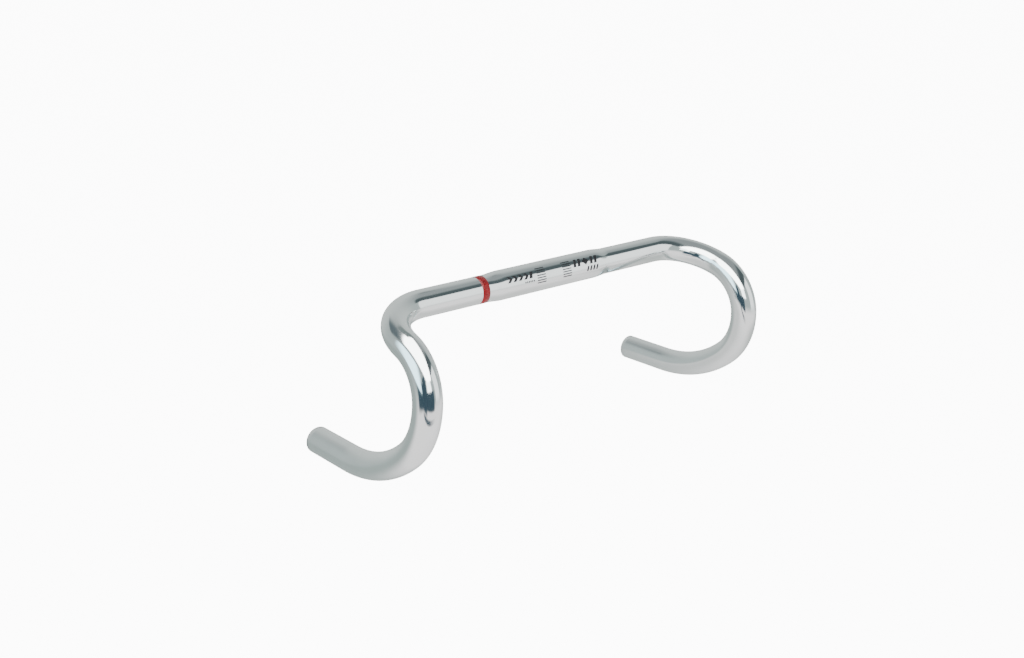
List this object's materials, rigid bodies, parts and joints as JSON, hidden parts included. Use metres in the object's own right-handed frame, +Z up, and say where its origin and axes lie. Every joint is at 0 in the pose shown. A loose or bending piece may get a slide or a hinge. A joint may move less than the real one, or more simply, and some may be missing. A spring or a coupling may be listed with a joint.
{
  "type": "drop handlebar",
  "caption": "Road bicycle drop handlebar: a bulged aluminium tube bent into two curved hooks, with a red band and printed alignment scales beside the clamp zone.",
  "frame": {"origin": "middle of the stem clamp zone, on the tube's axis", "axes": "+X along the tops towards the rider's left when the hooks point forwards, -Y forwards (the side with the printed marks), +Z up with the drop straights level"},
  "size_m": [0.4038, 0.1653, 0.1549],
  "materials": {
    "aluminium": "polished and clear anodised",
    "band": "printed film",
    "specks": "printed ink",
    "ink": "printed ink"
  },
  "bodies": {
    "root": {"bar_tube": "aluminium", "colour_band": "band", "band_specks": "specks", "left_scale": "ink", "right_scale": "ink", "left_mark": "ink", "left_small_mark": "ink", "right_mark": "ink", "right_small_mark": "ink"}
  },
  "joints": []
}
